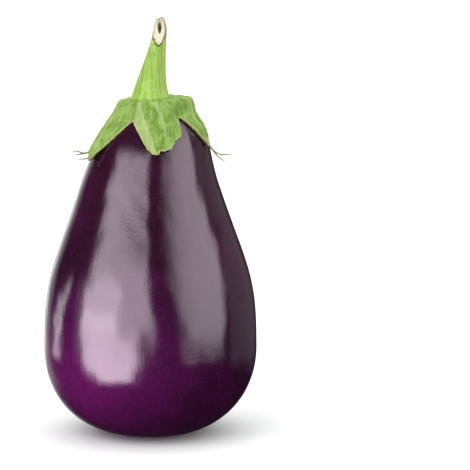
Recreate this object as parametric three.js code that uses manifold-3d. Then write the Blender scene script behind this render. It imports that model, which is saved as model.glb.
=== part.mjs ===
// A globe eggplant, as picked, standing on the small flat spot at its blossom end.
// Millimetres, +Z up, origin at the middle of the flat spot. Azimuths are degrees from the
// front (-Y), growing towards the right (+X).
// Three pieces: the fruit, the calyx draped over its crown, and the cut stem on top.

import * as THREE from "three";
import Module from "manifold-3d";
import { mergeVertices } from "three/addons/utils/BufferGeometryUtils.js";

const { degToRad, lerp, smoothstep } = THREE.MathUtils;

// ---- driving dimensions -------------------------------------------------------------------

const FRUIT_HEIGHT = 159.5; // flat spot to crown
const REST_RADIUS = 11; // of the flat spot
const BELLY_RADIUS = 51.4; // widest place
const BELLY_HEIGHT = 42.3;
const NECK_RADIUS = 28.8; // where the taper ends and the shoulder begins
const NECK_HEIGHT = 134;
const NECK_SLOPE = 0.31; // radius lost for each millimetre of height at the neck
const CROWN_LEAN = { from: 120, to: 154, shift: 2.6 }; // heights, and sideways shift towards +X

// Faint facets that make the fruit a grown thing: [waves around, share of radius, azimuth].
const SWELLS = [
  [2, 0.006, 20],
  [3, 0.005, 70],
  [5, 0.004, 9],
];

const FIT_GAP = 0.3; // between pieces that touch
const CROWN_THICKNESS = 3.7; // of the calyx under the stem
const LOBE_THICKNESS = 1.1; // halfway down a lobe
const TIP_THICKNESS = 1;
// Swollen ring at the shoulder, which is thicker by extra towards one azimuth.
const PUFF = { reach: 14.8, width: 4, thickness: 3, extra: 1.6, azimuth: 95 };
const LOBE_LIFT = { from: 30, to: 48, height: 2 }; // how far a lobe's tip curls off the fruit

// Reach is the distance from the crown's middle along the fruit's surface.
const NOTCH_REACH = 20;
// Anticlockwise seen from above: the notch before a lobe, its tip, and how full its two sides
// are: 1 is a straight side, less is fuller and more is hollowed.
const LOBES = [
  { name: "front", notch: -30, tip: 5, reach: 38.5, before: 0.87, after: 0.45 },
  { name: "right", notch: 38.5, tip: 78, reach: 40, before: 0.8, after: 0.7 },
  { name: "back_right", notch: 117, tip: 153, reach: 43, before: 0.7, after: 0.9 },
  { name: "back_left", notch: 189, tip: 228, reach: 38.5, before: 0.85, after: 0.7 },
  { name: "left", notch: 261, tip: 295, reach: 42.5, before: 0.8, after: 0.9 },
];

// Dried vein threads that hang from the lobes' tips. Spread is along the tip's edge.
const THREAD_RADIUS = 0.35;
const THREADS = [
  { lobe: "right", spread: 0.5, drop: 5, out: 10.5 },
  { lobe: "right", spread: -1, drop: 7.5, out: 7.5 },
  { lobe: "left", spread: 1.2, drop: 0.8, out: 8 },
  { lobe: "left", spread: -1, drop: 2.6, out: 6.5 },
  { lobe: "back_right", spread: 0, drop: 3.5, out: 6 },
  { lobe: "back_left", spread: 0.6, drop: 1.5, out: 5.5 },
];

const TOTAL_HEIGHT = 200; // flat spot to the highest point of the cut stem
const STEM_FOOT_RADIUS = 8.8;
const STEM_TIP_RADIUS = 2.8;
const STEM_TAPER = 1.6; // 1 is a straight cone, more thins it sooner
const STEM_LEAN = { foot: 0.4, tip: 5.7 }; // sideways shift, towards +X
const STEM_RIBS = { count: 5, depth: 0.05, azimuth: 9 };
const CUT = { low: 187, front: -3.9, back: 2.8 }; // slants up to TOTAL_HEIGHT at the back
const PITH = { halfWidth: 0.8, halfDepth: 1.4, offset: 1, floor: 190 }; // hollow core

// Facets around and along each piece.
const FRUIT_COLUMNS = 60;
const FRUIT_ROWS = 34;
const CALYX_COLUMNS = 120;
const CALYX_ROWS = 13;
const STEM_COLUMNS = 30;
const STEM_ROWS = 12;

const SKIN = new THREE.MeshStandardMaterial({ color: 0x35112f, roughness: 0.2, metalness: 0 });
const SEPAL = new THREE.MeshStandardMaterial({ color: 0x9cc25a, roughness: 0.62, metalness: 0 });
const STALK = new THREE.MeshStandardMaterial({ color: 0xa9cf63, roughness: 0.6, metalness: 0 });

// ---- helpers ------------------------------------------------------------------------------

const wasm = await Module();
wasm.setup();

// A closed geometry as a solid that can be joined and cut.
function toSolid(geometry) {
  const bare = geometry.clone().deleteAttribute("normal").deleteAttribute("uv");
  const merged = mergeVertices(bare, 1e-3);
  return new wasm.Manifold(
    new wasm.Mesh({
      numProp: 3,
      vertProperties: merged.attributes.position.array,
      triVerts: new Uint32Array(merged.index.array),
    }),
  );
}

function toGeometry(solid) {
  const { vertProperties, triVerts } = solid.getMesh();
  const geometry = new THREE.BufferGeometry();
  geometry.setAttribute("position", new THREE.BufferAttribute(vertProperties, 3));
  geometry.setIndex(new THREE.BufferAttribute(triVerts, 1));
  geometry.computeVertexNormals();
  return geometry;
}

// Turns an outline of [radius, height] points about the Z axis.
function turned(outline, columns) {
  const points = outline.map(([radius, height]) => new THREE.Vector2(radius, height));
  return new THREE.LatheGeometry(points, columns).rotateX(Math.PI / 2);
}

// Moves each vertex to where place(azimuth, radius, height) says.
function reshaped(geometry, place) {
  const position = geometry.getAttribute("position");
  for (let i = 0; i < position.count; i++) {
    const x = position.getX(i);
    const y = position.getY(i);
    const moved = place(Math.atan2(x, -y), Math.hypot(x, y), position.getZ(i));
    position.setXYZ(i, moved.x, moved.y, moved.z);
  }
  return geometry;
}

function atAzimuth(azimuth, radius, height) {
  return new THREE.Vector3(radius * Math.sin(azimuth), -radius * Math.cos(azimuth), height);
}

// Evenly spaced numbers from a to b, both included.
function spaced(a, b, steps) {
  return Array.from({ length: steps + 1 }, (_, i) => lerp(a, b, i / steps));
}

// ---- the fruit's surface ------------------------------------------------------------------

// Half of the fruit's upright section, from the crown down to the edge of the flat spot.
function fruitProfile() {
  const at = (radius, height) => new THREE.Vector2(radius, height);
  const profile = new THREE.CurvePath();
  const neck = at(NECK_RADIUS, NECK_HEIGHT);
  const belly = at(BELLY_RADIUS, BELLY_HEIGHT);
  const shoulderPull = 11;
  const crownFlat = 20;
  const taperPull = 54;
  const bellyPull = 39;
  const round = 0.57; // 0.55 makes a quarter of an ellipse, and more is fuller
  profile.add(
    new THREE.CubicBezierCurve(
      at(0, FRUIT_HEIGHT),
      at(crownFlat, FRUIT_HEIGHT),
      at(NECK_RADIUS - NECK_SLOPE * shoulderPull, NECK_HEIGHT + shoulderPull),
      neck,
    ),
  );
  profile.add(
    new THREE.CubicBezierCurve(
      neck,
      at(NECK_RADIUS + NECK_SLOPE * taperPull, NECK_HEIGHT - taperPull),
      at(BELLY_RADIUS, BELLY_HEIGHT + bellyPull),
      belly,
    ),
  );
  profile.add(
    new THREE.CubicBezierCurve(
      belly,
      at(BELLY_RADIUS, BELLY_HEIGHT * (1 - round)),
      at(lerp(REST_RADIUS, BELLY_RADIUS, round), 0),
      at(REST_RADIUS, 0),
    ),
  );
  return profile;
}

const PROFILE = fruitProfile();
const PROFILE_LENGTH = PROFILE.getLength();

// The facets fade out towards the crown and the flat spot.
function swell(azimuth, height) {
  const fade = Math.sin(Math.PI * THREE.MathUtils.clamp(height / FRUIT_HEIGHT, 0, 1));
  const sum = SWELLS.reduce(
    (total, [waves, share, start]) => total + share * Math.cos(waves * (azimuth - degToRad(start))),
    0,
  );
  return 1 + fade * sum;
}

// Shifts a point sideways by as much as the crown leans at its height.
function leaned(point) {
  const { from, to, shift } = CROWN_LEAN;
  point.x += shift * smoothstep(point.z, from, to);
  return point;
}

// A point at a reach down the fruit from its crown, and an offset out from the skin.
function overSkin(azimuth, reach, offset) {
  const share = reach / PROFILE_LENGTH;
  const { x: radius, y: height } = PROFILE.getPoint(share);
  const along = PROFILE.getTangent(share);
  const swollen = radius * swell(azimuth, height);
  return leaned(atAzimuth(azimuth, swollen - along.y * offset, height + along.x * offset));
}

// ---- fruit --------------------------------------------------------------------------------

function fruit() {
  const outline = spaced(1, 0, FRUIT_ROWS).map((share) => PROFILE.getPoint(share).toArray());
  outline.unshift([0, 0]); // the middle of the flat spot
  return reshaped(turned(outline, FRUIT_COLUMNS), (azimuth, radius, height) =>
    leaned(atAzimuth(azimuth, radius * swell(azimuth, height), height)),
  );
}

// ---- calyx --------------------------------------------------------------------------------

// How far the calyx reaches down the fruit at an azimuth.
function calyxReach(azimuth) {
  const degrees = THREE.MathUtils.euclideanModulo(
    THREE.MathUtils.radToDeg(azimuth) - LOBES[0].notch,
    360,
  );
  const turn = degrees + LOBES[0].notch;
  const lobe = LOBES.findLast(({ notch }) => notch <= turn + 1e-6);
  const next = LOBES[LOBES.indexOf(lobe) + 1];
  const nextNotch = next ? next.notch : LOBES[0].notch + 360;
  const rise =
    turn < lobe.tip
      ? Math.max(0, (turn - lobe.notch) / (lobe.tip - lobe.notch)) ** lobe.before
      : Math.max(0, (nextNotch - turn) / (nextNotch - lobe.tip)) ** lobe.after;
  return lerp(NOTCH_REACH, lobe.reach, rise);
}

function calyxThickness(azimuth, reach) {
  const towardsNotch = smoothstep(reach, 0, NOTCH_REACH);
  const towardsTip = smoothstep(reach, NOTCH_REACH, 40);
  const plain = lerp(lerp(CROWN_THICKNESS, LOBE_THICKNESS, towardsNotch), TIP_THICKNESS, towardsTip);
  const facing = (1 + Math.cos(azimuth - degToRad(PUFF.azimuth))) / 2;
  const puff = PUFF.thickness + PUFF.extra * facing ** 2;
  return plain + puff * Math.exp(-(((reach - PUFF.reach) / PUFF.width) ** 2));
}

// Where a point of the sheet lies: share of the way to the edge, and across from 0 inside
// to 1 outside.
function drape(azimuth, share, across) {
  const reach = calyxReach(azimuth) * share;
  const lift = LOBE_LIFT.height * smoothstep(reach, LOBE_LIFT.from, LOBE_LIFT.to);
  return overSkin(azimuth, reach, FIT_GAP + lift + across * calyxThickness(azimuth, reach));
}

function lobeTip(name) {
  const lobe = LOBES.find((each) => each.name === name);
  return { azimuth: degToRad(lobe.tip), reach: lobe.reach };
}

// A thread starts inside a lobe's tip, drops, and curls outwards.
function thread({ lobe, spread, drop, out }) {
  const rootShare = 0.93;
  const { azimuth } = lobeTip(lobe);
  const root = drape(azimuth, rootShare, 0.5);
  const tip = drape(azimuth, 1, 0.5);
  const outward = atAzimuth(azimuth, 1, 0);
  const sideways = atAzimuth(azimuth + Math.PI / 2, 1, 0);
  const from = (outShare, sideShare, dropShare) =>
    tip
      .clone()
      .addScaledVector(outward, out * outShare)
      .addScaledVector(sideways, spread * sideShare)
      .add(new THREE.Vector3(0, 0, -drop * dropShare));
  const path = new THREE.CatmullRomCurve3([
    root,
    from(0.05, 0.2, 0.15),
    from(0.35, 0.7, 0.85),
    from(1, 2, 1),
  ]);
  const section = new THREE.Shape().absarc(0, 0, THREAD_RADIUS, 0, 2 * Math.PI);
  return new THREE.ExtrudeGeometry(section, { steps: 8, curveSegments: 3, extrudePath: path });
}

function calyx() {
  // A flat disc of unit radius and thickness, draped over the crown.
  const outside = spaced(0, 1, CALYX_ROWS).map((radius) => [radius, 1]);
  const inside = outside.map(([radius]) => [radius, 0]);
  const disc = turned([...inside, ...outside.reverse()], CALYX_COLUMNS);
  const sheet = toSolid(reshaped(disc, drape));
  return toGeometry(THREADS.reduce((joined, each) => joined.add(toSolid(thread(each))), sheet));
}

// ---- stem ---------------------------------------------------------------------------------

function stemRadius(azimuth, share) {
  const smooth = lerp(STEM_TIP_RADIUS, STEM_FOOT_RADIUS, (1 - share) ** STEM_TAPER);
  const { count, depth, azimuth: start } = STEM_RIBS;
  return smooth * (1 + depth * Math.cos(count * (azimuth - degToRad(start))));
}

// Height of the calyx's outer face under a point of the stem's foot.
function crownHeight(point) {
  const x = point.x - CROWN_LEAN.shift;
  const reach = Math.hypot(x, point.y);
  const azimuth = Math.atan2(x, -point.y);
  return overSkin(azimuth, reach, FIT_GAP + calyxThickness(azimuth, reach)).z;
}

function stalkAt(azimuth, radius, share) {
  const point = atAzimuth(azimuth, radius * stemRadius(azimuth, share), 0);
  point.x += lerp(STEM_LEAN.foot, STEM_LEAN.tip, smoothstep(share, 0, 1));
  return point;
}

// The stalk before it is cut. Its foot follows the calyx's crown.
function stalk() {
  const foot = [0, 0.5].map((radius) => [radius, 0]);
  const side = spaced(0, 1, STEM_ROWS).map((height) => [1, height]);
  const blank = turned([...foot, ...side, [0, 1]], STEM_COLUMNS);
  return reshaped(blank, (azimuth, radius, share) => {
    const foot = crownHeight(stalkAt(azimuth, radius, 0)) + FIT_GAP;
    return stalkAt(azimuth, radius, share).setZ(lerp(foot, TOTAL_HEIGHT, share));
  });
}

// A block whose lower face is the slanting cut, from low in front to high at the back.
function cutBlock() {
  const { low, front, back } = CUT;
  const size = 60;
  return new THREE.BoxGeometry(size, size, size)
    .translate(0, 0, size / 2)
    .rotateX(Math.atan2(TOTAL_HEIGHT - low, back - front))
    .translate(STEM_LEAN.tip, (front + back) / 2, (TOTAL_HEIGHT + low) / 2);
}

function pithHollow() {
  const depth = TOTAL_HEIGHT - PITH.floor;
  return new THREE.CylinderGeometry(1, 1, depth, 12)
    .rotateX(Math.PI / 2)
    .scale(PITH.halfWidth, PITH.halfDepth, 1)
    .translate(STEM_LEAN.tip, PITH.offset, PITH.floor + depth / 2);
}

function stem() {
  return toGeometry(toSolid(stalk()).subtract(toSolid(cutBlock())).subtract(toSolid(pithHollow())));
}

// ---- assembly -----------------------------------------------------------------------------

function piece(name, geometry, material) {
  const mesh = new THREE.Mesh(geometry, material);
  mesh.name = name;
  return mesh;
}

const eggplant = new THREE.Group();
eggplant.add(
  piece("fruit", fruit(), SKIN),
  piece("calyx", calyx(), SEPAL),
  piece("stem", stem(), STALK),
);

export default eggplant;
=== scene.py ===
"""A globe eggplant: glossy skin, a five-lobed calyx and a cut stem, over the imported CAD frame.

Metres, +Z up, origin at the middle of the flat spot that the fruit stands on. Azimuths are
degrees from the front (-Y), growing towards the right (+X). Reach is the distance from the
middle of the crown along the fruit's surface.
"""

import math

import bpy
import numpy as np
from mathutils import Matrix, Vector


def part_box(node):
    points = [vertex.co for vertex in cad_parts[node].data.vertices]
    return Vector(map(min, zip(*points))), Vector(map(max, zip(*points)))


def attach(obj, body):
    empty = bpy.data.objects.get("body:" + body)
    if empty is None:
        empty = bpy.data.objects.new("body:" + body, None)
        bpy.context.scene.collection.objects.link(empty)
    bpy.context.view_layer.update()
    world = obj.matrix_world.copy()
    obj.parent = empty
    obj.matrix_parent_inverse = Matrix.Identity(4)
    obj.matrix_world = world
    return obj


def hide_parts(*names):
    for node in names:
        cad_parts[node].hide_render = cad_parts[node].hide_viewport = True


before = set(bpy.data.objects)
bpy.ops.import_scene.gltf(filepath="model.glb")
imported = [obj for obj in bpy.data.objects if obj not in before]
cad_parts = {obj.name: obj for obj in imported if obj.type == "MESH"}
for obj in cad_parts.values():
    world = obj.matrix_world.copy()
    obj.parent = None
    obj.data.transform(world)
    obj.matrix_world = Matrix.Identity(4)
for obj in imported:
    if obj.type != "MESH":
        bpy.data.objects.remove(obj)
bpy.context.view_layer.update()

MM = 0.001

# ---- sizes taken from the frame -----------------------------------------------------------

FRUIT_LOW, FRUIT_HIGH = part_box("fruit")
FRUIT_SIZE = FRUIT_HIGH - FRUIT_LOW
FRUIT_HEIGHT = FRUIT_HIGH.z
BELLY_RADIUS = (FRUIT_SIZE.x + FRUIT_SIZE.y) / 4  # mean of the half widths
TOTAL_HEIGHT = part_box("stem")[1].z

# ---- shape of the fruit, as in the CAD ----------------------------------------------------

REST_RADIUS = 11 * MM  # of the flat spot
BELLY_HEIGHT = 42.3 * MM
NECK_RADIUS = 28.8 * MM
NECK_HEIGHT = 134 * MM
NECK_SLOPE = 0.31  # growth of the radius for each millimetre down
CROWN_LEAN = 2.6 * MM  # sideways shift of the crown, towards +X
LEAN_FROM = 120 * MM
LEAN_TO = 154 * MM
SWELLS = ((2, 0.006, 20), (3, 0.005, 70), (5, 0.004, 9))  # waves around, share, azimuth

FLUTE_HEIGHT = 0.085 * MM  # broad, shallow flutes that run from the crown to the base
DENT_HEIGHT = 0.45 * FLUTE_HEIGHT  # unevenness some centimetres across
POCK_HEIGHT = 0.016 * MM  # unevenness a centimetre or so across
# The unevenness fades out towards the flat spot and towards the middle of the crown.
LOW_FADE = (1.5 * MM, 22 * MM)  # heights
CROWN_FADE = (0, 30 * MM)  # reaches
DIMPLE = {"height": 0.5 * MM, "radius": 4.5 * MM}  # hollow of the blossom scar

PROFILE_STEPS = 400  # points on each curve of the profile
FRUIT_COLUMNS = 320
FRUIT_ROWS = 224
SPOT_ROWS = 10

# ---- shape of the calyx -------------------------------------------------------------------

FIT_GAP = 0.3 * MM
CROWN_THICKNESS = 3.7 * MM
LOBE_THICKNESS = 1.1 * MM
TIP_THICKNESS = 1.0 * MM
# The swollen ring at the shoulder is thicker by extra towards one azimuth.
PUFF = {"reach": 14.8 * MM, "width": 4 * MM, "thickness": 3 * MM, "extra": 1.6 * MM, "azimuth": 95}
# The lobes' tips stand off the skin, by a height that varies by a share of itself.
LOBE_LIFT = {"from": 30 * MM, "to": 48 * MM, "height": 2 * MM, "waviness": 0.2}
NOTCH_REACH = 20 * MM
TIP_REACH = 40 * MM
THINNEST = 0.5 * MM
RIM_BULGE = 0.35  # share of the thickness that the rounded rim stands out by
RAGGEDNESS = 0.12 * MM  # fine waviness of the edge
VEIN_HEIGHT = 0.08 * MM
BUMP_HEIGHT = 0.12 * MM
BUMPS_FROM = (5 * MM, 14 * MM)  # reaches where veins and bumps fade in

# Each lobe's edge: azimuth in degrees and reach in millimetres, from one notch to the next.
# The front lobe's end is torn, the others run out to a point.
LOBE_EDGES = {
    "front": (
        (-29.5, 21.9), (-23.7, 24.9), (-18.2, 27.7), (-13.6, 30.4), (-10, 32.8), (-5.3, 36),
        (0.6, 38.5), (3.4, 38.9), (6.2, 38.6), (7.2, 37), (10.2, 37.1), (13.8, 36.7),
        (16.6, 36.6), (18.4, 35.8), (19.4, 34.1), (21.4, 33.8), (22.1, 31.8), (24.6, 31.8),
        (26.8, 30.9), (29.3, 30.7), (30.8, 29), (32.2, 25.4), (34.3, 21.5), (36, 19.6),
    ),
    "right": (
        (37.6, 20), (42.7, 22.1), (48.1, 25.2), (54.5, 28.2), (57.8, 30.5), (62.8, 33.3), (66, 35.5),
        (69.5, 36.6), (72, 35.4), (76, 33), (82, 30.6), (90, 28.2), (100, 25.2), (110, 21.8),
    ),
    "back_right": (
        (117, 19.6), (124, 22.6), (132, 28), (140, 33.2), (147, 38), (151, 41.6), (153, 43),
        (156, 40), (162, 34.4), (170, 28.4), (178, 23.4), (184, 20.8),
    ),
    "back_left": (
        (189, 19.6), (195, 21.6), (202, 25.6), (210, 30.2), (218, 34.4), (224, 37.6), (228, 38.5),
        (231, 36.4), (236, 31.2), (241, 26.4), (246, 22.6),
    ),
    "left": (
        (250, 20), (256, 26), (262, 32.5), (267, 37.3), (273, 39.6), (280, 41), (286, 42.3),
        (291, 43.6), (295.4, 43.2), (297.6, 41.8), (303.2, 37.6), (311.8, 32.4), (320.2, 27.7),
        (326.7, 23.7),
    ),
}
# Lines on the lobes, as reach in millimetres and azimuth. A rib is raised, a crease is sunk, and the
# calyx's colour is darkened along it as painted shade.
RIBS = (
    ((12, 1), (15.8, 2.1), (19.6, 8.5), (26.5, 11.6), (35, 14)),
    ((13, -31), (18.7, -18.2), (25, -9.8), (30.6, -2.9), (34.6, 0.9), (38.4, 3.4)),
    ((9, 62), (20, 66), (36, 69)),
    ((9, 150), (42, 153)),
    ((9, 226), (38, 228)),
    ((9, 284), (20, 289), (42, 291)),
)
RIB = {"height": 0.4 * MM, "width": 1.1 * MM, "fade": (-3 * MM, 4 * MM)}
CREASES = (
    ((8, -66), (11.5, -40), (15.4, -30), (21.9, -29.5)),
    ((8, 84), (12, 52), (15.6, 38), (19.6, 36.2)),
    ((8, 117), (20, 117)),
    ((8, 189), (20, 189)),
    ((8, 250), (20, 250)),
)
CREASE = {"depth": 1.0 * MM, "before": 1.9 * MM, "after": 1.1 * MM, "fade": (9.5 * MM, 13 * MM)}
# The smooth band on the front lobe lies between an azimuth near its left edge and a rib.
FOLD = {"rib": RIBS[1], "edge": -34, "height": 0.25 * MM, "fade": (14 * MM, 19 * MM)}

CALYX_COLUMNS = 720
CALYX_ROWS = 66
RIM_ROWS = 5
LINING_ROWS = 14

# Dried vein threads: the lobe's azimuth and reach where each one starts, then its way as
# millimetres outwards, sideways and down.
THREADS = (
    (70, 36, ((0, 0, 0), (2.1, 0, 2.5), (4.9, 0.2, 4.3), (7.5, 0.4, 4.6), (10.7, 0.8, 4.5))),
    (70, 36, ((0.6, 0, 1), (2, 0, 2.6), (3.2, -0.1, 4), (5.4, -0.4, 6), (8.1, -0.8, 7.5))),
    (274, 39.8, ((-0.4, 0, 0), (2, 0.3, 1), (4, 0.5, 0.8), (6, 0.8, 0), (8.1, 1, 0))),
    (274, 39.8, ((1.9, 0.3, 0.9), (3.2, 0.3, 1.3), (7.1, 0.2, 1.9))),
    (291, 42, ((-0.4, 0, 0), (2.3, -0.4, 0.8), (5.5, -0.9, 0.9))),
    (153, 42, ((0, 0, 0), (1, 0.2, 1.6), (2.6, 0.3, 3.1), (5.8, 0.2, 3.5))),
    (228, 37.6, ((0, 0, 0), (1.6, 0.3, 0.6), (3.4, 0.9, 1.3), (5.3, 1.2, 1.4))),
)
THREAD_RADII = (0.45 * MM, 0.22 * MM)  # root and tip
THREAD_STEPS = 8  # rings for each stretch between two points

# ---- shape of the stem --------------------------------------------------------------------

STEM_FOOT_RADIUS = 8.8 * MM
STEM_TIP_RADIUS = 2.8 * MM
STEM_TAPER = 1.6
STEM_LEAN = {"foot": 0.4 * MM, "tip": 5.7 * MM}
STEM_RIBS = ((5, 0.045, 9), (13, 0.016, 3), (23, 0.011, 31))  # count, share, azimuth
STEM_UNEVENNESS = 0.07 * MM
FOOT_FLARE = {"radius": 0.8 * MM, "height": 2.2 * MM}
FOOT_SINK = 0.4 * MM  # how deep the foot stands in the calyx
# The cut slants from its low height in front up to the stem's top at the back. Its middle is
# dished, and has a hollow where the pith was.
CUT = {
    "low": 187 * MM,
    "front": -3.9 * MM,
    "back": 2.8 * MM,
    "dish": 0.35 * MM,
    "fibres": 0.09 * MM,
}
PITH = {"half_width": 1.2 * MM, "half_depth": 1.5 * MM, "offset": 1.0 * MM, "depth": 3.4 * MM}

STEM_COLUMNS = 120
STEM_ROWS = 84
CUT_RINGS = 34

SEED = 7


# ---- numbers ------------------------------------------------------------------------------


def smooth(value, low, high):
    """0 below low, 1 above high, and a soft step between."""
    share = np.clip((value - low) / (high - low), 0, 1)
    return share * share * (3 - 2 * share)


def mix(a, b, share):
    """a where the share is 0, b where it is 1."""
    return a + (b - a) * share


def bell(distance, width):
    """1 at no distance, falling to nearly 0 at twice the width."""
    return np.exp(-((distance / width) ** 2))


def turn_between(azimuth, other):
    """Signed angle in degrees from other to azimuth, both in degrees, between -180 and 180."""
    return (azimuth - other + 180) % 360 - 180


def waves(azimuth, height, around, length, seed, count=24):
    """Smooth noise of about unit size on a ring: whole waves around, and a wave length up."""
    draw = np.random.default_rng(seed)
    total = np.zeros(np.broadcast(azimuth, height).shape)
    for _ in range(count):
        turns = draw.integers(around[0], around[1] + 1)
        per_metre = 2 * math.pi / draw.uniform(*length) * draw.choice((-1, 1))
        phase = draw.uniform(0, 2 * math.pi)
        total += np.cos(turns * np.radians(azimuth) + per_metre * height + phase)
    return total * math.sqrt(2 / count)


# ---- the fruit's surface ------------------------------------------------------------------


def cubic(points, steps):
    """Points along a cubic Bezier curve."""
    a, b, c, d = (np.array(point) for point in points)
    t = np.linspace(0, 1, steps)[:, None]
    return (1 - t) ** 3 * a + 3 * (1 - t) ** 2 * t * b + 3 * (1 - t) * t**2 * c + t**3 * d


def fruit_profile():
    """Half of the upright section as radius and height, from the crown to the flat spot."""
    crown_flat = 20 * MM
    shoulder_pull = 11 * MM
    taper_pull = 54 * MM
    belly_pull = 39 * MM
    roundness = 0.57
    neck = (NECK_RADIUS, NECK_HEIGHT)
    belly = (BELLY_RADIUS, BELLY_HEIGHT)
    shoulder = (
        (0, FRUIT_HEIGHT),
        (crown_flat, FRUIT_HEIGHT),
        (NECK_RADIUS - NECK_SLOPE * shoulder_pull, NECK_HEIGHT + shoulder_pull),
        neck,
    )
    taper = (
        neck,
        (NECK_RADIUS + NECK_SLOPE * taper_pull, NECK_HEIGHT - taper_pull),
        (BELLY_RADIUS, BELLY_HEIGHT + belly_pull),
        belly,
    )
    base = (
        belly,
        (BELLY_RADIUS, BELLY_HEIGHT * (1 - roundness)),
        (mix(REST_RADIUS, BELLY_RADIUS, roundness), 0),
        (REST_RADIUS, 0),
    )
    upper = [cubic(points, PROFILE_STEPS)[:-1] for points in (shoulder, taper)]
    return np.vstack((*upper, cubic(base, PROFILE_STEPS)))


PROFILE = fruit_profile()
PROFILE_REACH = np.concatenate(([0], np.cumsum(np.hypot(*np.diff(PROFILE, axis=0).T))))
PROFILE_ALONG = np.gradient(PROFILE, PROFILE_REACH, axis=0)


def swell(azimuth, height):
    """How much wider the fruit is here than a round one, as a factor."""
    fade = np.sin(math.pi * np.clip(height / FRUIT_HEIGHT, 0, 1))
    total = sum(share * np.cos(np.radians(count * (azimuth - start))) for count, share, start in SWELLS)
    return 1 + fade * total


def at_azimuth(azimuth, radius, height):
    """Points x, y, z from an azimuth, a distance from the upright axis and a height."""
    turn = np.radians(azimuth)
    height = np.broadcast_to(height, np.broadcast(azimuth, radius).shape)
    return np.stack((radius * np.sin(turn), -radius * np.cos(turn), height), axis=-1)


def over_skin(azimuth, reach, offset):
    """Points at a reach down the fruit, and an offset out from its skin."""
    azimuth, reach, offset = np.broadcast_arrays(azimuth, reach, offset)
    radius = np.interp(reach, PROFILE_REACH, PROFILE[:, 0])
    height = np.interp(reach, PROFILE_REACH, PROFILE[:, 1])
    along_radius = np.interp(reach, PROFILE_REACH, PROFILE_ALONG[:, 0])
    along_height = np.interp(reach, PROFILE_REACH, PROFILE_ALONG[:, 1])
    swollen = radius * swell(azimuth, height)
    points = at_azimuth(azimuth, swollen - along_height * offset, height + along_radius * offset)
    points[..., 0] += CROWN_LEAN * smooth(points[..., 2], LEAN_FROM, LEAN_TO)
    return points


# ---- mesh making --------------------------------------------------------------------------


def ring_faces(rings, columns):
    """Quads between rings of points that run around, each ring below the one before."""
    row = np.arange(rings - 1)[:, None] * columns
    here = np.arange(columns)[None, :]
    after = (here + 1) % columns
    quads = np.stack((row + here, row + columns + here, row + columns + after, row + after), -1)
    return quads.reshape(-1, 4).tolist()


def woven(rings, first, last):
    """Points and faces of a skin over rings, closed by a fan to the first and last points."""
    count, columns = rings.shape[:2]
    points = [tuple(point) for point in rings.reshape(-1, 3)]
    faces = ring_faces(count, columns)
    for point, ring, flip in ((first, 0, False), (last, count - 1, True)):
        start = ring * columns
        for column in range(columns):
            edge = (start + column, start + (column + 1) % columns)
            faces.append((*(edge[::-1] if flip else edge), len(points)))
        points.append(tuple(point))
    return points, faces


def new_piece(name, points, faces, values=None):
    """A smooth mesh object, with named numbers on its points for the materials to read.

    Points past the end of the numbers get 0.
    """
    mesh = bpy.data.meshes.new(name)
    mesh.from_pydata(points, [], faces)
    mesh.polygons.foreach_set("use_smooth", [True] * len(mesh.polygons))
    for key, numbers in (values or {}).items():
        layer = mesh.attributes.new(key, "FLOAT", "POINT")
        padded = np.zeros(len(points))
        padded[: len(numbers)] = numbers
        layer.data.foreach_set("value", padded.astype(np.float32))
    mesh.update()
    piece = bpy.data.objects.new(name, mesh)
    bpy.context.scene.collection.objects.link(piece)
    return piece


def place(piece, node, material):
    """Gives a piece its material, hangs it under the root body, and hides the CAD node that it stands
    for.
    """
    piece.data.materials.append(material)
    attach(piece, "root")
    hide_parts(node)


# ---- fruit --------------------------------------------------------------------------------


def make_fruit():
    azimuth = np.arange(FRUIT_COLUMNS) * 360 / FRUIT_COLUMNS
    reach = np.linspace(0, PROFILE_REACH[-1], FRUIT_ROWS + 1)[1:, None]
    height = np.interp(reach, PROFILE_REACH, PROFILE[:, 1])
    flutes = waves(azimuth, height, (4, 15), (0.12, 0.5), SEED)
    dents = waves(azimuth, height, (2, 8), (0.05, 0.12), SEED + 1)
    pocks = waves(azimuth, height, (9, 30), (0.012, 0.03), SEED + 8, 60)
    relief = FLUTE_HEIGHT * flutes + DENT_HEIGHT * dents + POCK_HEIGHT * pocks
    fade = smooth(height, *LOW_FADE) * smooth(reach, *CROWN_FADE)
    rings = over_skin(azimuth, reach, fade * relief)
    # The flat spot, with the shallow hollow of the blossom scar in its middle.
    spot = np.linspace(REST_RADIUS, 0, SPOT_ROWS + 2)[1:-1, None]
    hollow = DIMPLE["height"] * bell(spot, DIMPLE["radius"])
    bottom = at_azimuth(azimuth, np.broadcast_to(spot, (len(spot), FRUIT_COLUMNS)), hollow)
    rings = np.vstack((rings, bottom))
    crown = (0, 0, FRUIT_HEIGHT)
    scar = (0, 0, DIMPLE["height"])
    piece = new_piece("eggplant_fruit", *woven(rings, crown, scar))
    place(piece, "fruit", skin_material())


# ---- calyx --------------------------------------------------------------------------------


def calyx_edge():
    """Azimuth and reach of the calyx's edge, all the way round from the front notch."""
    points = [point for lobe in LOBE_EDGES.values() for point in lobe]
    points.append((points[0][0] + 360, points[0][1]))
    azimuth, reach = np.array(points).T
    return azimuth, reach * MM


def calyx_reach(azimuth):
    """Reach of the calyx's slightly ragged edge at each azimuth."""
    edge_azimuth, edge_reach = calyx_edge()
    turned = (azimuth - edge_azimuth[0]) % 360 + edge_azimuth[0]
    ragged = waves(azimuth, 0 * azimuth, (30, 90), (1, 2), SEED + 2)
    return np.interp(turned, edge_azimuth, edge_reach) + RAGGEDNESS * ragged


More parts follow.
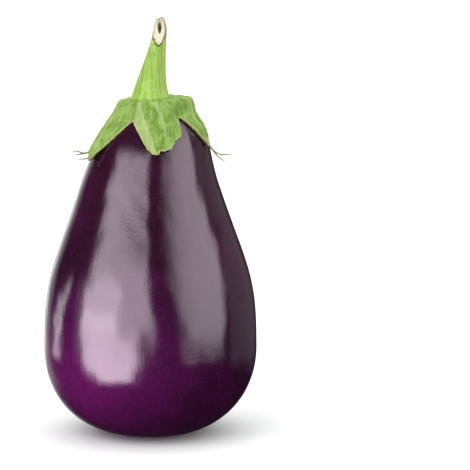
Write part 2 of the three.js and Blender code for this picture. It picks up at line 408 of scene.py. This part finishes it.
def calyx_thickness(azimuth, reach):
    """Thickness that thins from the crown to the tips, with the swollen ring on it."""
    plain = mix(
        mix(CROWN_THICKNESS, LOBE_THICKNESS, smooth(reach, 0, NOTCH_REACH)),
        TIP_THICKNESS,
        smooth(reach, NOTCH_REACH, TIP_REACH),
    )
    facing = (1 + np.cos(np.radians(azimuth - PUFF["azimuth"]))) / 2
    puff = PUFF["thickness"] + PUFF["extra"] * facing**2
    return plain + puff * bell(reach - PUFF["reach"], PUFF["width"])


def along_surface(azimuth, reach, line):
    """Signed distance around the fruit from a line to each point, growing with azimuth."""
    line_reach, line_azimuth = np.array(line).T
    radius = np.interp(reach, PROFILE_REACH, PROFILE[:, 0])
    turn = turn_between(azimuth, np.interp(reach, line_reach * MM, line_azimuth))
    return np.radians(turn) * radius


def rib_mask(azimuth, reach):
    """1 on a rib, falling to 0 beside it. A rib gets lower and narrower towards its end."""
    mask = 0
    for line in RIBS:
        start, end = line[0][0] * MM, line[-1][0] * MM
        share = np.clip((reach - start) / (end - start), 0, 1)
        fade = smooth(reach - start, *RIB["fade"]) * (1 - 0.4 * share)
        away = along_surface(azimuth, reach, line)
        mask = np.maximum(mask, bell(away, RIB["width"] * (1.2 - 0.5 * share)) * fade)
    return mask


def crease_mask(azimuth, reach):
    """1 in a crease that runs from a notch up to the stem, falling to 0 beside it."""
    mask = 0
    for line in CREASES:
        away = along_surface(azimuth, reach, line)
        width = np.where(away < 0, CREASE["before"], CREASE["after"])
        mask = np.maximum(mask, bell(away, width))
    return mask * smooth(reach, *CREASE["fade"])


def fold_mask(azimuth, reach):
    """1 on the smooth, pale band between the front lobe's left edge and its fold."""
    before_rib = -along_surface(azimuth, reach, FOLD["rib"])
    inside = smooth(before_rib, -0.3 * MM, 0.5 * MM) * smooth(turn_between(azimuth, FOLD["edge"]), 0, 5)
    in_front = np.abs(turn_between(azimuth, 0)) < 60
    return inside * in_front * smooth(reach, *FOLD["fade"])


def calyx_relief(azimuth, reach):
    """Height of the outer face's ribs, creases, veins and bumps over a plain sheet."""
    veins = waves(azimuth, reach, (36, 78), (0.03, 0.12), SEED + 3)
    bumps = waves(azimuth, reach, (9, 30), (0.006, 0.016), SEED + 4)
    spread = smooth(reach, *BUMPS_FROM)
    return (
        RIB["height"] * rib_mask(azimuth, reach)
        - CREASE["depth"] * crease_mask(azimuth, reach)
        + FOLD["height"] * fold_mask(azimuth, reach)
        + spread * (VEIN_HEIGHT * veins + BUMP_HEIGHT * bumps)
    )


def drape(azimuth, reach, across):
    """A point of the calyx, across from 0 on its inner face to 1 on its outer face."""
    wavy = waves(azimuth, reach, (3, 9), (0.02, 0.05), SEED + 5)
    lift = LOBE_LIFT["height"] * smooth(reach, LOBE_LIFT["from"], LOBE_LIFT["to"])
    lift = lift * (1 + LOBE_LIFT["waviness"] * wavy)
    thickness = calyx_thickness(azimuth, reach) + calyx_relief(azimuth, reach)
    return over_skin(azimuth, reach, FIT_GAP + lift + across * np.maximum(thickness, THINNEST))


def edge_distance(points, edge):
    """Distance from each point to the nearest point of the edge."""
    nearest = []
    for block in np.array_split(points.reshape(-1, 3), 40):  # in blocks, to spare memory
        between = block[:, None] - edge[None]
        nearest.append(np.sqrt((between**2).sum(-1)).min(1))
    return np.concatenate(nearest)


def make_calyx():
    azimuth = np.arange(CALYX_COLUMNS) * 360 / CALYX_COLUMNS
    edge = calyx_reach(azimuth)
    share = np.linspace(0, 1, CALYX_ROWS + 1)[1:, None]
    outer_reach = share * edge
    outer = drape(azimuth, outer_reach, 1)
    # The rim is rounded: from the outer face, out and round to the inner face.
    turn = np.linspace(0, math.pi, RIM_ROWS + 2)[1:-1, None]
    bulge = RIM_BULGE * calyx_thickness(azimuth, edge) * np.sin(turn)
    rim = drape(azimuth, edge + bulge, (1 + np.cos(turn)) / 2)
    lining_reach = np.linspace(1, 0, LINING_ROWS + 1)[:-1, None] * edge
    lining = drape(azimuth, lining_reach, 0)
    rings = np.vstack((outer, rim, lining))
    top, underside = (drape(np.zeros(1), np.zeros(1), across)[0] for across in (1, 0))
    points, faces = woven(rings, top, underside)
    reach = np.vstack((outer_reach, np.broadcast_to(edge, rim.shape[:2]), lining_reach))
    values = {
        "rim": edge_distance(rings, rim[RIM_ROWS // 2]) / MM,
        "rib": rib_mask(azimuth, reach).ravel(),
        "crease_shade": crease_mask(azimuth, reach).ravel(),
        "fold": fold_mask(azimuth, reach).ravel(),
    }
    piece = new_piece("eggplant_calyx", points, faces, values)
    place(piece, "calyx", calyx_material())


# ---- threads ------------------------------------------------------------------------------


def spline(points, steps):
    """A smooth line through points, the same number of steps between each two."""
    padded = np.vstack((2 * points[0] - points[1], points, 2 * points[-1] - points[-2]))
    t = np.linspace(0, 1, steps, endpoint=False)[:, None]
    parts = []
    for a, b, c, d in zip(padded, padded[1:], padded[2:], padded[3:]):
        bend = 2 * a - 5 * b + 4 * c - d
        parts.append(b + 0.5 * t * (c - a + t * (bend + t * (3 * (b - c) + d - a))))
    return np.vstack((*parts, points[-1:]))


def tube(path, radii, sides=8):
    """Rings of a tube along a path, tapering from the first radius to the second."""
    along = np.gradient(path, axis=0)
    along /= np.linalg.norm(along, axis=1)[:, None]
    side = np.cross(along, (0.2, 0.1, 1))
    side /= np.linalg.norm(side, axis=1)[:, None]
    other = np.cross(along, side)
    turn = np.linspace(0, 2 * math.pi, sides, endpoint=False)[None, :, None]
    radius = mix(radii[0], radii[1], np.linspace(0, 1, len(path)))[:, None, None]
    return path[:, None] + radius * (np.cos(turn) * side[:, None] + np.sin(turn) * other[:, None])


def make_threads():
    """The dried threads of all the lobes, joined in one piece."""
    points, faces, along = [], [], []
    for azimuth, reach, way in THREADS:
        start = drape(np.array([azimuth]), np.array([reach * MM]), 0.5)[0]
        outward = at_azimuth(azimuth, 1, 0)
        sideways = at_azimuth(azimuth + 90, 1, 0)
        steps = np.array(way) * MM
        line = start + steps @ np.stack((outward, sideways, (0, 0, -1)))
        path = spline(line, THREAD_STEPS)
        rings = tube(path, THREAD_RADII)
        new_points, new_faces = woven(rings, path[0], path[-1])
        faces += [tuple(index + len(points) for index in face) for face in new_faces]
        along += np.repeat(np.linspace(0, 1, len(path)), rings.shape[1]).tolist() + [0, 1]
        points += new_points
    piece = new_piece("calyx_threads", points, faces, {"along": along})
    place(piece, "calyx", thread_material())


# ---- stem ---------------------------------------------------------------------------------


def stem_radius(azimuth, share):
    """Radius of the tapering, ribbed stalk: share is 0 at its foot and 1 at its tip."""
    plain = mix(STEM_TIP_RADIUS, STEM_FOOT_RADIUS, (1 - share) ** STEM_TAPER)
    ribs = sum(size * np.cos(np.radians(count * (azimuth - start))) for count, size, start in STEM_RIBS)
    return plain * (1 + ribs)


def crown_height(points):
    """Height of the calyx's outer face under points of the stem's foot."""
    x = points[..., 0] - CROWN_LEAN
    reach = np.hypot(x, points[..., 1])
    azimuth = np.degrees(np.arctan2(x, -points[..., 1]))
    return over_skin(azimuth, reach, FIT_GAP + calyx_thickness(azimuth, reach))[..., 2]


def stem_point(azimuth, share):
    """A point of the stalk's side: share is 0 at its foot and 1 at its tip."""
    foot = at_azimuth(azimuth, stem_radius(azimuth, 0), 0)
    foot[..., 0] += STEM_LEAN["foot"]
    low = crown_height(foot) - FOOT_SINK
    height = mix(low, TOTAL_HEIGHT, share)
    flare = FOOT_FLARE["radius"] * np.exp(-(height - low) / FOOT_FLARE["height"])
    uneven = STEM_UNEVENNESS * waves(azimuth, height, (7, 26), (0.02, 0.09), SEED + 6)
    points = at_azimuth(azimuth, stem_radius(azimuth, share) + flare + uneven, height)
    points[..., 0] += mix(STEM_LEAN["foot"], STEM_LEAN["tip"], smooth(share, 0, 1))
    return points


def above_cut(points):
    """Height of points over the slanting cut, low in front and high at the back."""
    slope = (TOTAL_HEIGHT - CUT["low"]) / (CUT["back"] - CUT["front"])
    return points[..., 2] - TOTAL_HEIGHT - slope * (points[..., 1] - CUT["back"])


def stem_side(azimuth):
    """Rings of the stalk's side, from the cut down to its foot on the calyx."""
    # The share where the side meets the cut is found by halving, from below it and above it.
    below, above = np.full(azimuth.shape, 0.3), np.ones(azimuth.shape)
    for _ in range(30):
        middle = (below + above) / 2
        cut_off = above_cut(stem_point(azimuth, middle)) > 0
        above = np.where(cut_off, middle, above)
        below = np.where(cut_off, below, middle)
    return stem_point(azimuth, np.linspace(1, 0, STEM_ROWS)[:, None] * below)


def cut_face(rim):
    """Rings of the cut face, from its middle out to the rim, with the hollow of the pith."""
    share = np.linspace(0, 1, CUT_RINGS)[1:-1, None]
    centre = rim.mean(0)
    rings = centre + share[..., None] * (rim - centre)
    across = (rings[..., 0] - centre[0]) / PITH["half_width"]
    deep = (rings[..., 1] - centre[1] - PITH["offset"]) / PITH["half_depth"]
    across *= 1.35 - 0.35 * np.clip(deep, -1, 1)  # narrower in front
    hollow = smooth(-np.hypot(across, deep), -1.2, -0.8)
    turn = np.degrees(np.arctan2(rings[..., 0] - centre[0], -rings[..., 1] + centre[1]))
    fibres = waves(turn, rings[..., 2], (5, 19), (0.002, 0.006), SEED + 7)
    sunk = CUT["dish"] * (1 - smooth(share, 0.72, 1)) + CUT["fibres"] * fibres * (1 - share**6)
    rings[..., 2] -= sunk + PITH["depth"] * hollow
    return centre, rings, hollow


def make_stem():
    azimuth = np.arange(STEM_COLUMNS) * 360 / STEM_COLUMNS
    side = stem_side(azimuth)
    centre, face, hollow = cut_face(side[0])
    centre[2] -= CUT["dish"]
    foot = (0, 0, FRUIT_HEIGHT + CROWN_THICKNESS)
    rings = np.vstack((face, side))
    points, faces = woven(rings, centre, foot)
    share = np.linspace(0, 1, CUT_RINGS)[1:-1, None]
    # The value "cut" is the share of the way out to the rim on the face, and 2 plus the
    # millimetres below the rim on the side.
    below_rim = (side[0, :, 2] - side[..., 2]) / MM
    values = {
        "cut": np.vstack((np.broadcast_to(share, face.shape[:2]), 2 + below_rim)).ravel(),
        "pith": np.vstack((hollow, np.zeros(side.shape[:2]))).ravel(),
    }
    piece = new_piece("eggplant_stem", points, faces, values)
    place(piece, "stem", stem_material())


# ---- material helpers ---------------------------------------------------------------------


def add(tree, kind, inputs=None, **settings):
    """Adds a node. An input that is a socket is linked, and any other is set."""
    node = tree.nodes.new(kind)
    for key, value in settings.items():
        setattr(node, key, value)
    for key, value in (inputs or {}).items():
        if isinstance(value, bpy.types.NodeSocket):
            tree.links.new(value, node.inputs[key])
        else:
            node.inputs[key].default_value = value
    return node


def maths(tree, operation, a, b=0.0):
    return add(tree, "ShaderNodeMath", {0: a, 1: b}, operation=operation).outputs[0]


def times(tree, a, b):
    return maths(tree, "MULTIPLY", a, b)


def ramp(tree, value, low, high, start=0.0, end=1.0):
    """Maps low..high to start..end with a soft step."""
    inputs = {"Value": value, "From Min": low, "From Max": high, "To Min": start, "To Max": end}
    node = add(tree, "ShaderNodeMapRange", inputs, interpolation_type="SMOOTHSTEP")
    return node.outputs["Result"]


def blend(tree, factor, a, b):
    """Mixes two colours, each a socket or three numbers."""
    colours = [c if isinstance(c, bpy.types.NodeSocket) else (*c, 1) for c in (a, b)]
    node = add(tree, "ShaderNodeMix", data_type="RGBA")
    for index, value in ((0, factor), (6, colours[0]), (7, colours[1])):
        if isinstance(value, bpy.types.NodeSocket):
            tree.links.new(value, node.inputs[index])
        else:
            node.inputs[index].default_value = value
    return node.outputs[2]


def noise(tree, vector, scale, detail=2.0, roughness=0.5):
    inputs = {"Vector": vector, "Scale": scale, "Detail": detail, "Roughness": roughness}
    return add(tree, "ShaderNodeTexNoise", inputs).outputs[0]


def spots(tree, vector, scale, size):
    """1 in the middle of scattered round spots."""
    cells = add(tree, "ShaderNodeTexVoronoi", {"Vector": vector, "Scale": scale})
    return ramp(tree, cells.outputs["Distance"], size, 0.0)


def bump(tree, height, distance, normal=None):
    inputs = {"Height": height, "Distance": distance, "Strength": 1.0}
    if normal is not None:
        inputs["Normal"] = normal
    return add(tree, "ShaderNodeBump", inputs).outputs[0]


def attribute(tree, name):
    return add(tree, "ShaderNodeAttribute", attribute_name=name).outputs["Fac"]


def place_of(tree):
    """The object's own coordinates, in metres."""
    return add(tree, "ShaderNodeTexCoord").outputs["Object"]


def ring_place(tree, around, along):
    """Coordinates that are stretched along the fruit: cells per radian around, and per metre up."""
    parts = add(tree, "ShaderNodeSeparateXYZ", {0: place_of(tree)}).outputs
    flat = add(tree, "ShaderNodeCombineXYZ", {0: parts[0], 1: parts[1]}).outputs[0]
    unit = add(tree, "ShaderNodeVectorMath", {0: flat}, operation="NORMALIZE").outputs[0]
    ring = add(tree, "ShaderNodeVectorMath", {0: unit, "Scale": around}, operation="SCALE").outputs[0]
    height = times(tree, parts[2], along)
    up = add(tree, "ShaderNodeCombineXYZ", {2: height}).outputs[0]
    return add(tree, "ShaderNodeVectorMath", {0: ring, 1: up}, operation="ADD").outputs[0]


def new_material(name):
    material = bpy.data.materials.new(name)
    material.use_nodes = True
    tree = material.node_tree
    return material, tree, tree.nodes["Principled BSDF"].inputs


def link(tree, socket, target):
    tree.links.new(socket, target)


def fleshy(shader, weight):
    """Light enters the surface a little and comes out beside it, mostly green."""
    shader["Specular IOR Level"].default_value = 0.35
    shader["Subsurface Weight"].default_value = weight
    shader["Subsurface Radius"].default_value = (0.4, 0.6, 0.2)
    shader["Subsurface Scale"].default_value = 2 * MM


# ---- materials ----------------------------------------------------------------------------

SKIN_COLOURS = {
    "dark_low": (0.024, 0.0016, 0.018),
    "dark_high": (0.026, 0.0038, 0.013),
    # Magenta of the skin, also used for painted light low on the front-left.
    "blush_and_light": (0.20, 0.010, 0.165),
    "mottle": (0.10, 0.012, 0.078),
    "fleck": (0.22, 0.05, 0.19),
}
SKIN_TINT = (1.0, 0.87, 0.98, 1)  # of its mirrored light
SKIN_ROUGHNESS = 0.145
SKIN_IOR = 1.9
# Heights of the magenta low on the front-left, which is partly painted light.
LEFT_BLUSH_AND_LIGHT_HEIGHTS = (88 * MM, 20 * MM)  # where it starts, and where it is full
DARK_HEIGHTS = (40 * MM, 130 * MM)  # where the dark colour turns from low to high

CALYX_COLOURS = {
    "deep": (0.155, 0.30, 0.026),
    "light": (0.31, 0.49, 0.095),
    "streak": (0.42, 0.60, 0.18),
    "shade": (0.10, 0.205, 0.02),
    "fold": (0.44, 0.56, 0.22),
    "rib": (0.48, 0.62, 0.24),
    # painted shade, for the creases
    "crease_shade": (0.10, 0.20, 0.025),
    "pale_dot": (0.42, 0.50, 0.22),
    "dark_dot": (0.11, 0.20, 0.03),
    "rim": (0.62, 0.65, 0.26),
    "rim_line": (0.20, 0.09, 0.04),
}
THREAD_COLOURS = {"olive": (0.21, 0.30, 0.06), "dry": (0.24, 0.22, 0.08)}

STEM_COLOURS = {
    "bark": (0.28, 0.48, 0.055),
    "light_bark": (0.50, 0.73, 0.17),
    "pale_patch": (0.56, 0.75, 0.24),
    "dark_patch": (0.21, 0.38, 0.04),
    "groove": (0.17, 0.31, 0.05),
    "wood": (0.78, 0.74, 0.50),
    "pale_wood": (0.92, 0.90, 0.72),
    "wood_rim": (0.50, 0.36, 0.22),
    "browned": (0.27, 0.21, 0.09),
    "pith": (0.10, 0.10, 0.035),
    "edge": (0.09, 0.06, 0.02),
    "pale_edge": (0.17, 0.12, 0.05),
}


def skin_material():
    """Dark purple waxy skin: magenta low on one side, partly its own colour and partly painted light,
    mottled, with fine ripples in its gloss.
    """
    material, tree, shader = new_material("eggplant_skin")
    hue = SKIN_COLOURS
    here = place_of(tree)
    x, y, z = add(tree, "ShaderNodeSeparateXYZ", {0: here}).outputs
    streaks = noise(tree, ring_place(tree, 48, 420), 1, 5, 0.7)
    clouds = noise(tree, here, 26, 3, 0.55)
    # Magenta low on the left of the front is partly the skin's own colour and partly painted light from
    # the left. Here and there all over it is the skin's own.
    toward_left = maths(tree, "SUBTRACT", times(tree, x, -0.62), times(tree, y, 0.5))
    left_blush_and_light = ramp(tree, toward_left, 4 * MM, 50 * MM)
    blush_and_light = times(tree, left_blush_and_light, ramp(tree, z, *LEFT_BLUSH_AND_LIGHT_HEIGHTS))
    blush_and_light = maths(tree, "ADD", blush_and_light, times(tree, ramp(tree, clouds, 0.45, 0.8), 0.25))
    blush_and_light = times(tree, blush_and_light, ramp(tree, streaks, 0.2, 0.75, 0.5, 1.2))
    colour = blend(tree, ramp(tree, z, *DARK_HEIGHTS), hue["dark_low"], hue["dark_high"])
    colour = blend(tree, blush_and_light, colour, hue["blush_and_light"])
    mottles = noise(tree, here, 420, 3, 0.7)
    colour = blend(tree, ramp(tree, mottles, 0.48, 0.75, 0, 0.4), colour, hue["mottle"])
    flecks = spots(tree, ring_place(tree, 60, 900), 1, 0.2)
    colour = blend(tree, times(tree, flecks, 0.22), colour, hue["fleck"])
    link(tree, colour, shader["Base Color"])
    shader["Roughness"].default_value = SKIN_ROUGHNESS
    shader["IOR"].default_value = SKIN_IOR
    shader["Specular Tint"].default_value = SKIN_TINT
    # Patches of ripples across, grooves along, and a fine grain.
    patchy = ramp(tree, noise(tree, here, 55, 2), 0.4, 0.65, 0.25, 1)
    ripples = times(tree, noise(tree, ring_place(tree, 16, 640), 1, 3, 0.6), patchy)
    grooves = noise(tree, ring_place(tree, 34, 60), 1, 4, 0.65)
    grain = noise(tree, here, 1500, 2, 0.6)
    normal = bump(tree, ripples, 0.042 * MM)
    normal = bump(tree, grooves, 0.028 * MM, normal)
    normal = bump(tree, grain, 0.02 * MM, normal)
    link(tree, normal, shader["Normal"])
    return material


def calyx_material():
    """Fleshy green with paler midribs and veins, painted shade in the creases, a cream rim and a thin
    brown edge line.
    """
    material, tree, shader = new_material("calyx_green")
    hue = CALYX_COLOURS
    here = place_of(tree)
    fine = noise(tree, ring_place(tree, 30, 130), 1, 4, 0.6)
    patches = noise(tree, here, 230, 4, 0.65)
    colour = blend(tree, ramp(tree, patches, 0.36, 0.64), hue["deep"], hue["light"])
    colour = blend(tree, ramp(tree, fine, 0.5, 0.72, 0, 0.7), colour, hue["streak"])
    colour = blend(tree, ramp(tree, fine, 0.45, 0.28, 0, 0.75), colour, hue["shade"])
    fold = times(tree, attribute(tree, "fold"), ramp(tree, fine, 0.25, 0.55, 0.35, 0.8))
    colour = blend(tree, fold, colour, hue["fold"])
    colour = blend(tree, ramp(tree, attribute(tree, "rib"), 0.2, 1, 0, 0.65), colour, hue["rib"])
    # Painted shade: the sunk creases between the lobes are darkened.
    crease_shade = ramp(tree, attribute(tree, "crease_shade"), 0.5, 1.1, 0, 0.45)
    colour = blend(tree, crease_shade, colour, hue["crease_shade"])
    pale_dots = spots(tree, here, 620, 0.26)
    colour = blend(tree, times(tree, pale_dots, 0.35), colour, hue["pale_dot"])
    dark_dots = spots(tree, here, 520, 0.3)
    colour = blend(tree, times(tree, dark_dots, 0.5), colour, hue["dark_dot"])
    # Millimetres from the edge, made uneven.
    rim = maths(tree, "ADD", attribute(tree, "rim"), ramp(tree, patches, 0.3, 0.7, -0.25, 0.25))
    colour = blend(tree, ramp(tree, rim, 1.0, 0.4, 0, 0.85), colour, hue["rim"])
    colour = blend(tree, ramp(tree, rim, 0.5, 0.2, 0, 0.85), colour, hue["rim_line"])
    link(tree, colour, shader["Base Color"])
    shader["Roughness"].default_value = 0.52
    fleshy(shader, 0.12)
    veins = noise(tree, ring_place(tree, 34, 120), 1, 3, 0.6)
    pimples = noise(tree, here, 900, 3, 0.6)
    normal = bump(tree, veins, 0.55 * MM)
    normal = bump(tree, pimples, 0.22 * MM, normal)
    link(tree, normal, shader["Normal"])
    return material


def thread_material():
    """Olive at the root, dry brown at the tip."""
    material, tree, shader = new_material("thread_olive")
    mottle = noise(tree, place_of(tree), 700, 2, 0.5)
    dry = ramp(tree, attribute(tree, "along"), 0.1, 0.9)
    dry = times(tree, dry, ramp(tree, mottle, 0.3, 0.7, 0.7, 1.1))
    colour = blend(tree, dry, THREAD_COLOURS["olive"], THREAD_COLOURS["dry"])
    link(tree, colour, shader["Base Color"])
    shader["Roughness"].default_value = 0.6
    link(tree, bump(tree, mottle, 0.08 * MM), shader["Normal"])
    return material


def cut_colour(tree, cut):
    """Colour of the cut face: cream wood that is brown on the right, and dark pith."""
    hue = STEM_COLOURS
    grain = noise(tree, ring_place(tree, 40, 300), 1, 3, 0.6)
    wood = blend(tree, ramp(tree, grain, 0.35, 0.7), hue["wood"], hue["pale_wood"])
    wood = blend(tree, ramp(tree, cut, 0.68, 0.92, 0, 0.55), wood, hue["wood_rim"])
    x = add(tree, "ShaderNodeSeparateXYZ", {0: place_of(tree)}).outputs[0]
    on_right = ramp(tree, x, 6 * MM, 8.2 * MM)
    browned = times(tree, on_right, ramp(tree, cut, 0.5, 0.85, 0, 0.9))
    wood = blend(tree, browned, wood, hue["browned"])
    return blend(tree, ramp(tree, attribute(tree, "pith"), 0.1, 0.7), wood, hue["pith"])


def stem_material():
    """Green, streaked bark, a brown edge, cream wood on the cut and a dark olive pith."""
    material, tree, shader = new_material("stem_green")
    hue = STEM_COLOURS
    streaks = noise(tree, ring_place(tree, 9, 22), 1, 4, 0.62)
    patches = noise(tree, place_of(tree), 210, 3, 0.6)
    bark = blend(tree, ramp(tree, streaks, 0.36, 0.66), hue["bark"], hue["light_bark"])
    bark = blend(tree, ramp(tree, patches, 0.5, 0.7, 0, 0.6), bark, hue["pale_patch"])
    bark = blend(tree, ramp(tree, patches, 0.42, 0.3, 0, 0.4), bark, hue["dark_patch"])
    bark = blend(tree, ramp(tree, streaks, 0.38, 0.28, 0, 0.6), bark, hue["groove"])
    # The attribute is below 1 on the face, and from 2 up on the side, as make_stem says.
    cut = attribute(tree, "cut")
    edge = blend(tree, ramp(tree, patches, 0.3, 0.7), hue["edge"], hue["pale_edge"])
    side = blend(tree, ramp(tree, cut, 2.35, 3.0), edge, bark)
    colour = blend(tree, ramp(tree, cut, 0.93, 0.99), cut_colour(tree, cut), side)
    link(tree, colour, shader["Base Color"])
    shader["Roughness"].default_value = 0.5
    fleshy(shader, 0.1)
    fibres = noise(tree, ring_place(tree, 14, 60), 1, 4, 0.6)
    normal = bump(tree, fibres, 0.5 * MM)
    normal = bump(tree, patches, 0.15 * MM, normal)
    link(tree, normal, shader["Normal"])
    return material


# ---- studio -------------------------------------------------------------------------------

LENS = 200  # millimetres, as is the sensor
SENSOR = 36
CAMERA_DISTANCE = 1.253
CAMERA_ELEVATION = 8
AIM = Vector((0.041, 0, 0.0955))  # right of the fruit, which stands on the left of the frame
DOME = (0.3, 1.3)  # brightness on matt surfaces, from below and from above
KEY = {"azimuth": -35, "elevation": 40, "distance": 1.0, "size": 0.7, "watts": 2.2}
FLOOR_HALF = 5
FLOOR_COLOUR = (1.03, 1.05, 1.035, 1)

# What gloss mirrors: soft-edged panes of light. Each one has its azimuths, their softness and
# the degrees that each edge slants by for each degree of elevation, then its elevations, their
# softness, and its brightness.
PANES = (
    ((-73.5, 0), (5, 7), (0.2, -0.2), (-5, 32.5), (7, 7), 2.75),  # left one, upper part
    ((-73.5, -34), (5, 9), (0.2, 0), (-3, 22), (7, 10), 1.45),
    ((-74, -13.5), (3, 4), (-0.25, 0.22), (-31, -6), (7, 10), 5.3),  # its lower part
    ((-72, -36), (6, 16), (0, 0), (-8, 3), (8, 6), 1.8),
    ((-86, -74), (10, 6), (0, 0), (-12, 16), (8, 8), 0.3),  # its glow
    ((-116, -111), (2, 2), (0.8, 0.8), (-11, 8), (4, 8), 3.3),  # narrow one far to the left
    ((39, 85.5), (24, 5), (-0.25, 0.5), (-9, 58), (6, 20), 1.7),  # large one on the right
    ((31, 44), (10, 14), (-0.1, 0), (0, 26), (9, 6), 0.5),
    ((50, 85), (22, 8), (0, 0.5), (-6, 34), (8, 12), 0.4),
    ((95, 150), (6, 30), (0, 0), (-14, 16), (16, 6), 0.22),  # dim wall on the right
    ((184, 206), (8, 8), (0, 0), (-12, 6), (8, 8), 0.5),  # behind
    ((112, 236), (20, 20), (0, 0), (20, 56), (8, 14), 1.6),
    ((186, 226), (16, 16), (0, 0), (-24, 26), (12, 12), 0.55),
    ((-200, 400), (1, 1), (0, 0), (62, 100), (16, 1), 0.5),  # overhead
)
PANE_BASE = 0.01  # brightness between the panes
SHEET_UNEVENNESS = 0.12  # how much the panes' brightness varies
EDGE_WANDER = 2.6  # degrees that the panes' edges wander by


def from_angles(azimuth, elevation, distance):
    turn, tilt = math.radians(azimuth), math.radians(elevation)
    level = math.cos(tilt)
    return distance * Vector((math.sin(turn) * level, -math.cos(turn) * level, math.sin(tilt)))


def make_camera():
    camera = bpy.data.objects.new("camera", bpy.data.cameras.new("camera"))
    camera.data.lens = LENS
    camera.data.sensor_width = SENSOR
    middle = Vector((0, 0, AIM.z))
    camera.location = middle + from_angles(0, CAMERA_ELEVATION, CAMERA_DISTANCE)
    camera.rotation_euler = (AIM - camera.location).to_track_quat("-Z", "Y").to_euler()
    bpy.context.scene.collection.objects.link(camera)
    bpy.context.scene.camera = camera


def step(tree, value, edge, softness):
    """0 below the edge and 1 above it. A negative softness turns that round."""
    return ramp(tree, value, edge - softness / 2, edge + softness / 2)


def mirrored_light(tree, toward):
    """Brightness of the panes that gloss mirrors, towards each direction."""
    x, y, z = add(tree, "ShaderNodeSeparateXYZ", {0: toward}).outputs
    azimuth = maths(tree, "DEGREES", maths(tree, "ARCTAN2", x, times(tree, y, -1.0)))
    elevation = maths(tree, "DEGREES", maths(tree, "ARCSINE", z))
    half_wander = EDGE_WANDER / 2
    wander = ramp(tree, noise(tree, toward, 11, 4, 0.7), 0.3, 0.7, -half_wander, half_wander)
    azimuth = maths(tree, "ADD", azimuth, wander)
    elevation = maths(tree, "SUBTRACT", elevation, wander)
    # Panes that reach past 180 degrees use azimuths from 0 to 360.
    on_left = maths(tree, "LESS_THAN", azimuth, 0.0)
    all_round = maths(tree, "ADD", azimuth, times(tree, on_left, 360.0))
    total = PANE_BASE
    for sides, side_softness, slants, heights, height_softness, light in PANES:
        turn = all_round if sides[1] > 180 else azimuth
        left, right = (
            maths(tree, "SUBTRACT", turn, times(tree, elevation, slant)) for slant in slants
        )
        pane = times(tree, step(tree, left, sides[0], side_softness[0]), light)
        pane = times(tree, pane, step(tree, right, sides[1], -side_softness[1]))
        pane = times(tree, pane, step(tree, elevation, heights[0], height_softness[0]))
        pane = times(tree, pane, step(tree, elevation, heights[1], -height_softness[1]))
        total = maths(tree, "ADD", pane, total)
    low, high = 1 - SHEET_UNEVENNESS / 2, 1 + SHEET_UNEVENNESS / 2
    cloudy = ramp(tree, noise(tree, toward, 9, 4, 0.6), 0.25, 0.75, low, high)
    return times(tree, total, cloudy)


def make_world():
    """White to the camera, an even dome to matt surfaces, and panes of light to gloss."""
    world = bpy.data.worlds.new("studio")
    bpy.context.scene.world = world
    world.use_nodes = True
    world.cycles.sampling_method = "NONE"
    tree = world.node_tree
    toward = add(tree, "ShaderNodeTexCoord").outputs["Generated"]
    height = add(tree, "ShaderNodeSeparateXYZ", {0: toward}).outputs[2]
    dome = ramp(tree, height, -1, 1, *DOME)
    path = add(tree, "ShaderNodeLightPath").outputs
    mirrored = times(tree, path["Is Glossy Ray"], mirrored_light(tree, toward))
    strength = times(tree, path["Is Diffuse Ray"], dome)
    strength = maths(tree, "ADD", maths(tree, "ADD", strength, path["Is Camera Ray"]), mirrored)
    tree.links.new(strength, tree.nodes["Background"].inputs["Strength"])
    tree.nodes["Background"].inputs["Color"].default_value = (1, 1, 1, 1)


def make_key():
    """A broad lamp in front on the left that shapes the matt surfaces only."""
    light = bpy.data.lights.new("key", "AREA")
    light.shape = "DISK"
    light.size = KEY["size"]
    light.energy = KEY["watts"]
    key = bpy.data.objects.new("key", light)
    middle = Vector((0, 0, FRUIT_HEIGHT / 2))
    key.location = middle + from_angles(KEY["azimuth"], KEY["elevation"], KEY["distance"])
    key.rotation_euler = (key.location - middle).to_track_quat("Z", "Y").to_euler()
    key.visible_glossy = False
    key.visible_camera = False
    bpy.context.scene.collection.objects.link(key)


def make_floor():
    """A pale floor that takes the fruit's shadow.

    Only the camera sees it: gloss doesn't mirror it, and it neither lights nor shades the fruit.
    """
    half = FLOOR_HALF
    corners = ((-half, -half, 0), (half, -half, 0), (half, half, 0), (-half, half, 0))
    floor = new_piece("floor", corners, [(0, 1, 2, 3)])
    material, tree, shader = new_material("pale_floor")
    shader["Base Color"].default_value = FLOOR_COLOUR
    shader["Roughness"].default_value = 1
    shader["Specular IOR Level"].default_value = 0
    floor.data.materials.append(material)
    floor.visible_glossy = False
    floor.visible_diffuse = False
    floor.visible_shadow = False


def make_studio():
    bpy.context.scene.view_settings.view_transform = "Standard"
    make_camera()
    make_world()
    make_key()
    make_floor()


make_studio()
make_fruit()
make_calyx()
make_threads()
make_stem()
